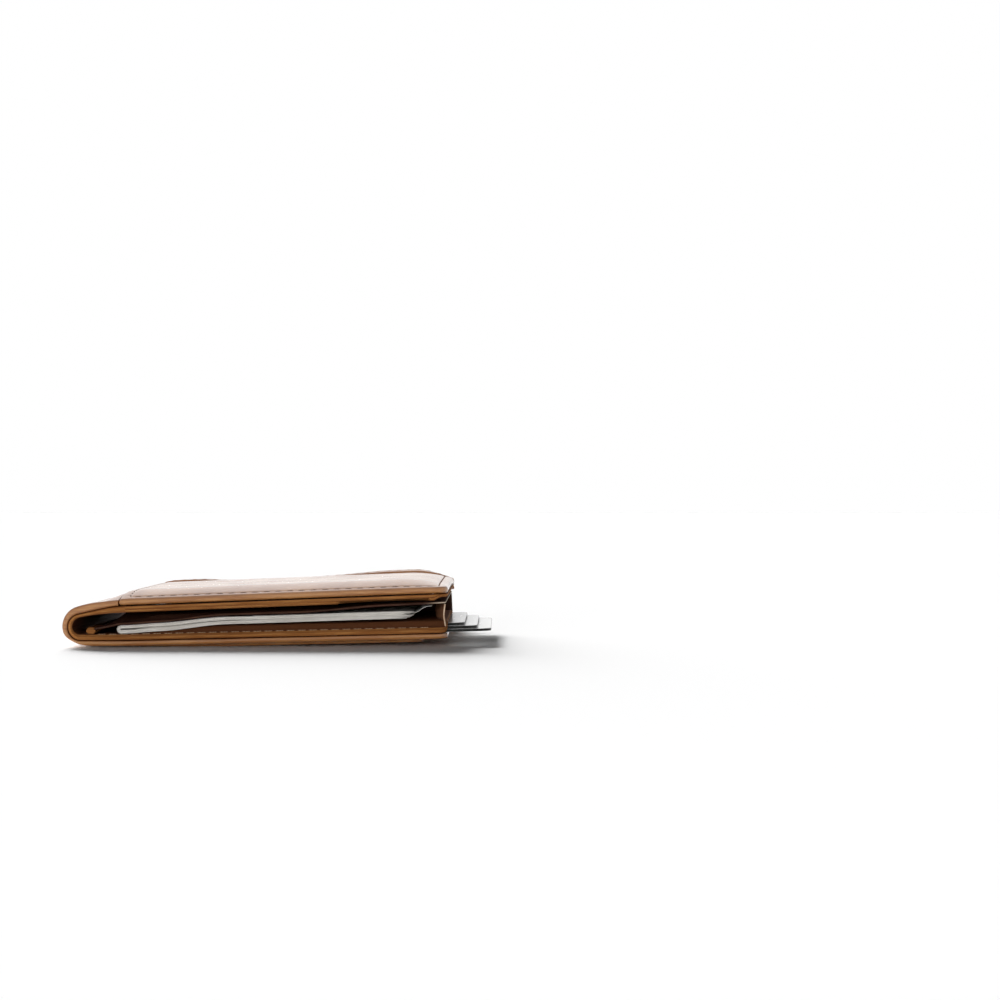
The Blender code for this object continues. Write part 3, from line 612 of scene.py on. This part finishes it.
frontPanel = skin("front_face", stations((panelStart, panelStart + 7 * mm, 32),
                                         (panelStart + 7 * mm, upperEnd - 8 * mm, 70),
                                         (upperEnd - 8 * mm, upperEnd, 40)),
                  panelLook["rim"], panelEdges, panelFaces, leatherPoint, tan, count=110)


# Far hem: the cover's thick border past the panel's far edge. It stands a little over the panel at both ends and
# under it in between, and towards the free end it swells to its far edge by one less a square
hemLook = {"rim": 0.3 * mm, "rise": 0.5 * mm, "step": 0.45 * mm, "sunk": 0.2 * mm, "lead": 46 * mm,
           "run": 28 * mm, "end": 12 * mm, "spineFull": 10 * mm, "spineEnd": 22 * mm, "stitch": 2.3 * mm}


def hemFaces(s, y):
    raised = ease(panelStart + hemLook["lead"], panelStart + hemLook["lead"] + hemLook["run"], s)
    rise = hemLook["rise"] * ease(upperEnd, upperEnd - hemLook["end"], s) * raised
    shown = np.maximum(raised, ease(panelStart + hemLook["spineEnd"], panelStart + hemLook["spineFull"], s))
    step = mix(-hemLook["sunk"], hemLook["step"], shown)
    over = leather["gap"] + leather["panel"] + step + rise * bulge(panelFar, far, y)
    return droop(s, y) - crown(s, y) - over, coverInner(s) + droop(s, y)


def hemEdges(u):
    cut = cornerCut(upperEnd - u, leather["corner"])
    return panelFar + leather["gap"] + waver(u, 0.1 * mm, 0.7), far - cut - waver(u, coverLook["waver"], 2.0)


farHem = skin("far_hem", stations((panelStart - 0.1 * mm, upperEnd - 6 * mm, 70),
                                  (upperEnd - 6 * mm, upperEnd, 30)),
              hemLook["rim"], hemEdges, hemFaces, leatherPoint, darkEdgeTan, count=24)


# Linings: hem below, card slot above, with the thumb notch cut from the near edge
liningLook = {"rim": 0.32 * mm, "notchWidth": 26.0 * mm, "notchDepth": 8.0 * mm, "notchAt": upperEnd - 18.0 * mm}


def lowerLiningFaces(p, y):
    low, high = liningFaces(-p, y)
    folded = low + mix(leather["hem"], leather["upperLining"], p / foldLength)
    return low, np.where(p > 0, folded, high)


def lowerLiningEdges(u):
    cut = cornerCut(u + lowerEnd, leather["corner"])
    return near + cut + waver(u, 0.12 * mm, 3.0), far - cut - waver(u, 0.12 * mm, 0.9)


lowerLining = skin("lower_inside", stations((-lowerEnd, -lowerEnd + 6 * mm, 24), (-lowerEnd + 6 * mm, 0, 96),
                                            (0, coverLook["middle"], 26)),
                   0.6 * mm, lowerLiningEdges, lowerLiningFaces, leatherPoint, liningTan, rounds=(True, False))


# Near edge of the upper lining: a half ellipse is cut out at the notch
def upperLiningEdges(u):
    share = np.clip(np.abs(u - liningLook["notchAt"]) / (liningLook["notchWidth"] / 2), 0, 1)
    notch = liningLook["notchDepth"] * np.sqrt(1 - share * share)
    cut = cornerCut(upperEnd - u, leather["corner"])
    return near + cut + notch + waver(u, 0.12 * mm, 1.7), far - cut - waver(u, 0.12 * mm, 0.2)


# Beside the slot the lining fills the wedge up to the cover; over the card it stands off by the slot
def upperLiningFaces(s, y):
    flat = leather["skived"] + mix(leather["gap"], slotRise, slotShare(s, y))
    inner = (mix(leather["cover"] + leather["gap"], flat, ease(foldLength, upperStraight, s))
             + mix(leather["hem"], leather["upperLining"], np.clip(s / foldLength, 0, 1)))
    slotOpen = ease(upperStraight + 0.3 * mm, upperStraight + 0.8 * mm, s)
    return mix(coverInner(s) + leather["gap"], flat, slotOpen) + droop(s, y), inner + droop(s, y)


notchStart = liningLook["notchAt"] - liningLook["notchWidth"] / 2
notchEnd = liningLook["notchAt"] + liningLook["notchWidth"] / 2
upperLining = skin("upper_inside", stations((coverLook["middle"], foldLength, 26), (foldLength, upperStraight, 14),
                                            (upperStraight, upperStraight + 1 * mm, 8),
                                            (upperStraight + 1 * mm, notchStart, 44), (notchStart, notchEnd, 44),
                                            (notchEnd, upperEnd, 26)),
                   liningLook["rim"], upperLiningEdges, upperLiningFaces, leatherPoint, liningTan,
                   rounds=(False, True))


# Lip of the card slot: the cover's edge turned in, which closes the slot's mouth and is pressed flat by the card
lipLook = {"rim": 0.06 * mm, "start": upperStraight + 0.45 * mm, "end": upperEnd - 2.6 * mm, "width": 1.5 * mm,
           "seam": 0.22 * mm, "overlap": 0.02 * mm, "keep": 0.05}


def lipEdges(u):
    return near + waver(u, 0.12 * mm, 1.7), near + lipLook["width"] + 0 * u


def lipFaces(s, y):
    low = coverInner(s) + lipLook["seam"]
    mouth = leather["skived"] + mix(leather["gap"], slotRise, slotShare(s, y))
    return low, np.maximum(low + lipLook["overlap"], mouth + lipLook["overlap"])


slotLip = skin("slot_lip", stations((lipLook["start"], lipLook["end"], 90)), lipLook["rim"], lipEdges, lipFaces,
               leatherPoint, liningTan, count=10)
print("covers and linings made")


# Back panel: pared towards the spine, flat on the table in the middle and rising to its edges
backLook = {"start": 18.0 * mm - spineRadius, "end": lowerEnd - 7.0 * mm, "side": 6.0 * mm, "slope": 12.0 * mm,
            "rim": 0.3 * mm}


def backEdges(u):
    cut = cornerCut(np.minimum(u - backLook["start"], backLook["end"] - u), leather["corner"])
    return near + backLook["side"] + cut, far - backLook["side"] - cut


def backFaces(t, y):
    x, z, heading = walk(left + spineRadius, tableGap, 0.0, lowerRuns, t)
    room = z / np.cos(heading)
    thick = np.minimum(leather["panel"], room - leather["gap"])
    nearSide, farSide = near + backLook["side"], far - backLook["side"]
    inside = (ease(backLook["end"], backLook["end"] - backLook["slope"], t)
              * ease(nearSide, nearSide + backLook["slope"], y) * ease(farSide, farSide - backLook["slope"], y))
    under = mix(leather["gap"] + thick, room, inside)
    return -under, thick - under


backPanel = skin("back_face", stations((backLook["start"], backLook["start"] + 5 * mm, 14),
                                       (backLook["start"] + 5 * mm, backLook["end"] - 5 * mm, 50),
                                       (backLook["end"] - 5 * mm, backLook["end"], 18)),
                 backLook["rim"], backEdges, backFaces, lowerPoint, tan, count=70)


# Sleeve over the notes, sewn down at the spine and far sides
sleeveLook = {"rim": 0.28 * mm, "start": sleeveStart + 1.4 * mm, "end": lowerEnd - 0.3 * mm}


def sleeveEdges(u):
    cut = cornerCut(sleeveLook["end"] - u, leather["corner"] / 2)
    return near + cut + waver(u, 0.25 * mm, 1.3), far - layout["sleeveBorder"] - cut


noteSleeve = skin("sleeve_skin", stations((sleeveLook["start"], hairpin + 4 * mm, 34),
                                          (hairpin + 4 * mm, sleeveLook["end"] - 3 * mm, 80),
                                          (sleeveLook["end"] - 3 * mm, sleeveLook["end"], 12)),
                  sleeveLook["rim"], sleeveEdges, sleeveFaces, lowerPoint, brown)


# Welt on the sleeve's sewn edge: a roll of leather that lies on the lining and wraps the edge
weltLook = {"start": sleeveStart - 0.9 * mm, "end": sleeveStart + 1.7 * mm, "rise": 1.95 * mm, "rim": 0.8 * mm}


def weltFaces(t, y):
    low = liningFaces(t, y)[1] + 0.05 * mm
    return low, low + weltLook["rise"]


sleeveWelt = skin("sleeve_welt", stations((weltLook["start"], weltLook["end"], 14)), weltLook["rim"],
                  lambda u: (near + 0.7 * mm + 0 * u, far - 1.2 * mm + 0 * u), weltFaces,
                  lowerPoint, liningTan, count=50)


# End wall of the sleeve: a soft pleat between its lower and upper hem, which leans in towards the notes
gussetLook = {"rim": 0.25 * mm, "rise": 4.0 * mm, "pleat": 0.45 * mm, "lean": 2.7 * mm,
              "leanStart": 2 * mm, "leanFull": 20 * mm, "back": sleeveLook["end"] - leather["sleeve"]}


def gussetPoint(u, y, depth):
    v = u / gussetLook["rise"]
    lean = gussetLook["lean"] * ease(near + gussetLook["leanStart"], near + gussetLook["leanFull"], y)
    t = gussetLook["back"] - lean - gussetLook["pleat"] * (1 - np.sqrt((2 * v - 1) ** 2 + 0.01)) + depth
    low = liningFaces(t, y)[1] + leather["gap"]
    high = sleeveFaces(t, y)[0] - leather["gap"]
    return leatherPoint(-t, y, mix(low, high, v))


sleeveGusset = skin("gusset_skin", stations((0, gussetLook["rise"], 24)), gussetLook["rim"],
                    lambda u: (near + leather["corner"] / 2 + 0 * u, noteFar + 0 * u),
                    lambda u, y: (0 * y, 0 * y + leather["sleeve"]), gussetPoint, paintedLightGussetBrown, count=60)
print("back panel, sleeve and gusset made")


# Folded notes: thin leaves nested in a hairpin, w runs round each from its lower loose end to its upper one.
# Past the hairpin the upper leaves settle on the lower ones.
noteLook = {"leaf": 0.1 * mm, "pitch": 0.135 * mm, "leaves": 7, "shut": 57 * mm, "rim": 0.05 * mm,
            "shorter": (0.0, 1.4, 0.5, 2.6, 1.1, 3.2, 2.0)}


def leafPoint(half, phase):
    bend = math.pi / 2 * half
    slit = 2 * (contents["bundle"] / 2 - (noteLook["leaves"] - 1) * noteLook["pitch"] - noteLook["leaf"]) - 0.08 * mm

    def place(w, y, depth):
        along = hairpin + contents["bundle"] / 2 + np.maximum(0, np.abs(w) - bend)
        settle = slit * ease(hairpin + 6 * mm, noteLook["shut"], along) * (w > 0)
        wave = 0.02 * mm * np.sin(along / (5 * mm) + phase) * ease(0, 8 * mm, np.abs(w))
        middle = bundleLow(along, y) + contents["bundle"] / 2 - settle + wave
        angle = np.clip(w / bend, -1, 1) * math.pi / 2
        reach = half - depth
        return leatherPoint(reach * np.cos(angle) - along, y, middle + reach * np.sin(angle))
    return place


leaves = []
for leaf in range(noteLook["leaves"]):
    half = contents["bundle"] / 2 - leaf * noteLook["pitch"]
    bend = math.pi / 2 * half
    upper = bend + contents["noteRun"] - noteLook["shorter"][leaf] * mm
    lower = bend + contents["noteRun"] - noteLook["shorter"][-1 - leaf] * mm
    rows = stations((-lower, -bend, 60), (-bend, bend, 18), (bend, upper, 60))
    inset = (leaf * 0.37 % 1) * 0.5 * mm
    piece = skin("note_leaf_%d" % leaf, rows, noteLook["rim"],
                 lambda u, inset=inset: (near + layout["noteNear"] + inset + 0 * u, noteFar - inset + 0 * u),
                 lambda u, y: (0 * y, 0 * y + noteLook["leaf"]), leafPoint(half, 1.7 * leaf), paper,
                 count=24, steps=1)
    leaves.append(piece)


# A loose slip on top of the notes: it dips at the notes' end and curls up behind it
slipLook = {"start": 48 * mm, "end": lowerEnd - 4.3 * mm, "thick": 0.11 * mm, "dip": 0.45 * mm, "curl": 1.25 * mm}


def slipPoint(t, y, depth):
    settled = bundleLow(t, y) + contents["bundle"] - (0.5 * mm) * ease(hairpin + 6 * mm, noteLook["shut"], t)
    end = slipLook["end"]
    dip = slipLook["dip"] * ease(end - 8.5 * mm, end - 5.0 * mm, t) * ease(end - 2.2 * mm, end - 5.0 * mm, t)
    curl = slipLook["curl"] * ease(end - 5.0 * mm, end - 0.8 * mm, t)
    crinkle = 0.06 * mm * np.sin(y / (2.9 * mm) + t / (1.7 * mm)) * ease(end - 9 * mm, end - 3 * mm, t)
    return leatherPoint(-t, y, settled + 0.1 * mm - dip + curl + crinkle + depth)


slip = skin("note_slip", stations((slipLook["start"], slipLook["end"] - 9 * mm, 30),
                                  (slipLook["end"] - 9 * mm, slipLook["end"], 40)), noteLook["rim"],
            lambda u: (near + layout["noteNear"] + 0.8 * mm + 0 * u, noteFar - 3 * mm + 0 * u),
            lambda u, y: (0 * y, 0 * y + slipLook["thick"]), slipPoint, paper, count=60, steps=1)
print("notes made")


# Cards: flat plates with round corners, each set at its frame node's middle and slope
def cardSkin(node, slope, finish):
    low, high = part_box(node)
    middle = [(a + b) / 2 for a, b in zip(low, high)]
    half, deep = contents["cardLength"] / 2, contents["cardWidth"] / 2

    def edges(u):
        cut = cornerCut(half - np.abs(u), contents["cardCorner"])
        return cut - deep, deep - cut

    def place(u, v, d):
        return np.stack([middle[0] + u * math.cos(slope) - d * math.sin(slope), middle[1] + v,
                         middle[2] + u * math.sin(slope) + d * math.cos(slope)], axis=-1)

    rows = stations((-half, -half + 4 * mm, 24), (-half + 4 * mm, half - 4 * mm, 12), (half - 4 * mm, half, 24))
    thick = contents["cardThick"] / 2
    return skin(node + "_plate", rows, 0.07 * mm, edges, lambda u, v: (0 * v - thick, 0 * v + thick), place, finish,
                count=30, steps=3)


cardPieces = {node: cardSkin(node, lowerTilt, whiteCard) for node in ("bottom_card", "middle_card", "top_card")}
cardPieces["slot_card"] = cardSkin("slot_card", upperTilt, darkCard)
print("cards made")


# Stitches: one bowed capsule of few faces, copied along a path of plan points and turned to the leather's face
def stitchRow(name, path, pitch, face, finish, look):
    steps = np.hypot(*np.diff(path, axis=0).T)
    run = np.concatenate([[0], np.cumsum(steps)])
    count = max(2, int(round(run[-1] / pitch)))
    at = (np.arange(count) + 0.5) * run[-1] / count
    ahead = 0.1 * mm
    plan = [np.stack([np.interp(at + shift, run, path[:, k]) for k in (0, 1)], axis=-1)
            for shift in (-ahead, 0, ahead)]
    before, centre, after = (face(p[:, 0], p[:, 1]) for p in plan)
    heading = (after - before) / np.linalg.norm(after - before, axis=1, keepdims=True)
    alongFace = face(plan[1][:, 0] + ahead, plan[1][:, 1]) - centre
    acrossFace = face(plan[1][:, 0], plan[1][:, 1] + ahead) - centre
    up = np.cross(alongFace, acrossFace)
    up = up / np.linalg.norm(up, axis=1, keepdims=True) * look["up"]
    side = np.cross(up, heading)
    ring = np.linspace(0, 2 * math.pi, 6, endpoint=False)
    spans = np.array([-1.0, -0.8, -0.3, 0.3, 0.8, 1.0])
    girth = np.array([0.35, 0.85, 1.0, 1.0, 0.85, 0.35])
    a = np.repeat(spans, 6) * look["length"] / 2
    b = (girth[:, None] * np.cos(ring)).ravel() * look["width"] / 2
    c = (girth[:, None] * np.sin(ring)).ravel() * look["height"] / 2 - np.repeat(spans ** 2, 6) * look["bow"]
    slant = look["slant"]
    a, b = a * math.cos(slant) - b * math.sin(slant), a * math.sin(slant) + b * math.cos(slant)
    points = (centre[:, None] + heading[:, None] * a[None, :, None] + side[:, None] * b[None, :, None]
              + up[:, None] * (c + look["lift"])[None, :, None])
    grid = np.arange(36).reshape(6, 6)
    turned = np.roll(grid, -1, axis=1)
    sides = np.stack([grid[:-1], turned[:-1], turned[1:], grid[1:]], axis=-1).reshape(-1, 4)
    ends = np.array([[0, 5, 4, 3], [0, 3, 2, 1], [30, 31, 32, 33], [30, 33, 34, 35]])
    one = np.concatenate([sides, ends])
    faces = (one[None] + (np.arange(count) * 36)[:, None, None]).reshape(-1, 4)
    twist = np.tile(np.repeat(spans, 6) * 9.0 + np.tile(ring, 6), count)
    return newPiece(name, points, faces, {"twist": twist}, finish)


# Plan path of the panel's seam: from its far edge along the spine side, round two corners and along the free end
def seamPath(start, end, low, high, radius):
    quarter = np.linspace(0, math.pi / 2, 9)
    arcs = [np.stack([middle + radius * np.cos(turn + quarter),
                      low + radius + radius * np.sin(turn + quarter)], axis=-1)
            for middle, turn in ((start + radius, math.pi), (end - radius, 1.5 * math.pi))]
    return np.concatenate([np.array([[start, high]]), *arcs, np.array([[end, high]])])


panelStitch = {"length": 2.4 * mm, "width": 0.5 * mm, "height": 0.34 * mm, "bow": 0.14 * mm, "lift": 0.0 * mm,
               "slant": 0.06, "up": 1.0}
inset = panelLook["stitch"]
panelPath = seamPath(panelStart + inset, upperEnd - inset, near + inset, panelFar - 0.8 * mm, 2.2 * mm)
panelThread = stitchRow("front_stitches", panelPath, panelLook["pitch"],
                        lambda s, y: leatherPoint(s, y, panelFaces(s, y)[0]), darkThread, panelStitch)
farStitch = {**panelStitch, "lift": -0.08 * mm}
farPath = np.stack([np.linspace(panelStart + 1 * mm, upperEnd - 3 * mm, 80),
                    np.full(80, far - hemLook["stitch"])], axis=-1)
farThread = stitchRow("far_stitches", farPath, panelLook["pitch"],
                      lambda s, y: leatherPoint(s, y, hemFaces(s, y)[0]), tanThread, farStitch)
hemStitch = {"length": 2.2 * mm, "width": 0.5 * mm, "height": 0.36 * mm, "bow": 0.14 * mm, "lift": 0.05 * mm,
             "slant": 0.06, "up": 1.0}
hemRows = []
for label, y in (("near", near + 1.2 * mm), ("far", far - 1.2 * mm)):
    path = np.stack([np.linspace(-lowerEnd + 5 * mm, -4 * mm, 60), np.full(60, y)], axis=-1)
    hemRows.append(stitchRow("hem_stitches_" + label, path, 3.1 * mm,
                             lambda p, y: leatherPoint(p, y, lowerLiningFaces(p, y)[1]), paleThread, hemStitch))
print("stitches made")

# What each piece stands for and what it moves with
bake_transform(lowerCover)
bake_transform(lowerLining)
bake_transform(upperCover)
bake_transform(upperLining)
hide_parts("lower_cover", "spine_cover")
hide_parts("lower_lining", "spine_lining")
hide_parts("upper_cover")
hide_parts("upper_lining")
rides = [(frontPanel, "upper_half", "tan_leather", "front_panel"),
         (backPanel, "lower_half", "tan_leather", "back_panel"),
         (noteSleeve, "lower_half", "brown_leather", "note_sleeve"),
         (sleeveGusset, "lower_half", "brown_leather", "sleeve_gusset"),
         (sleeveWelt, "lower_half", "tan_leather", None),
         (slotLip, "upper_half", "tan_leather", None), (farHem, "upper_half", "tan_leather", None),
         (panelThread, "upper_half", None, None), (farThread, "upper_half", None, None),
         (slip, "folded_notes", "paper", None)]
rides += [(row, "lower_half", None, None) for row in hemRows]
rides += [(leaf, "folded_notes", "paper", None) for leaf in leaves]
rides += [(piece, node, "dark_card" if node == "slot_card" else "white_card", node)
          for node, piece in cardPieces.items()]
for piece, body, slotName, node in rides:
    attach(piece, body)
    if node:
        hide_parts(node)
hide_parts("outer_note")
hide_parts("inner_note")
lipRoot = leatherPoint(np.array(upperEnd / 2), near, leather["skived"] + 0.1 * mm).tolist()
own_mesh(slotLip)
for leaf, piece in enumerate(leaves):
    length = 2 * contents["noteRun"] + math.pi * (contents["bundle"] / 2 - leaf * noteLook["pitch"])
slipLook["end"] - slipLook["start"]
print("pieces placed on their bodies")

# Studio: pale floor to the horizon, two broad lights from behind on the spine's side, a low fill from the front
studio = {"floor": colour(252, 252, 252), "world": 0.03,
          "key": {"strength": 2.2, "rise": 33.0, "turn": 206.0, "spread": 26.0},
          "back": {"strength": 5.6, "rise": 18.0, "turn": 203.0, "spread": 40.0},
          "fill": {"strength": 2.75, "rise": 1.6, "turn": -14.0, "spread": 36.0}}
floorMesh = bpy.data.meshes.new("floor")
floorMesh.from_pydata([(-6, -6, 0), (6, -6, 0), (6, 6, 0), (-6, 6, 0)], [], [(0, 1, 2, 3)])
floor = bpy.data.objects.new("floor", floorMesh)
bpy.context.scene.collection.objects.link(floor)
floorLook = bpy.data.materials.new("floor_paper")
floorLook.use_nodes = True
floorShader = floorLook.node_tree.nodes["Principled BSDF"]
floorShader.inputs["Base Color"].default_value = studio["floor"]
floorShader.inputs["Roughness"].default_value = 0.9
floorShader.inputs["Specular IOR Level"].default_value = 0.0
floorMesh.materials.append(floorLook)

world = bpy.data.worlds.new("studio")
bpy.context.scene.world = world
world.use_nodes = True
sky = world.node_tree.nodes["Background"]
rays = Socket(world.node_tree, None)
seen = rays.make("ShaderNodeLightPath", {}, {}, "Is Camera Ray")
glossy = Socket(world.node_tree, seen.out.node.outputs["Is Glossy Ray"])
direct = seen.math("MAXIMUM", seen, glossy)
strength = direct * (1 - studio["world"]) + studio["world"]
world.node_tree.links.new(strength.out, sky.inputs["Strength"])
sky.inputs["Color"].default_value = (1, 1, 1, 1)


# A sun from a compass turn and a rise above the horizon; turn 0 shines from the camera's side
def addSun(name, look):
    lamp = bpy.data.lights.new(name, "SUN")
    lamp.energy, lamp.angle = look["strength"], math.radians(look["spread"])
    sun = bpy.data.objects.new(name, lamp)
    sun.rotation_euler = (math.radians(90 - look["rise"]), 0, math.radians(look["turn"]))
    sun.visible_glossy = False  # gloss shows the white room, not the lamps
    bpy.context.scene.collection.objects.link(sun)


for lampName in ("key", "back", "fill"):
    addSun(lampName, studio[lampName])

# Camera at the photo's level view: its distance and height follow from the scale at the near edge
view = {"reach": 575 * mm, "scale": 0.28 * mm, "middleX": 68.64 * mm, "height": 41.4 * mm, "frame": 1000}
lens = bpy.data.cameras.new("photo_view")
lens.sensor_width = 36.0
lens.lens = 36.0 * view["reach"] / (view["scale"] * view["frame"])
lens.clip_start, lens.clip_end = 0.01, 50
camera = bpy.data.objects.new("photo_view", lens)
camera.location = (view["middleX"], near - view["reach"], view["height"])
camera.rotation_euler = (math.pi / 2, 0, 0)
bpy.context.scene.collection.objects.link(camera)
bpy.context.scene.camera = camera
bpy.context.scene.view_settings.view_transform = "Standard"
print("studio and camera set")
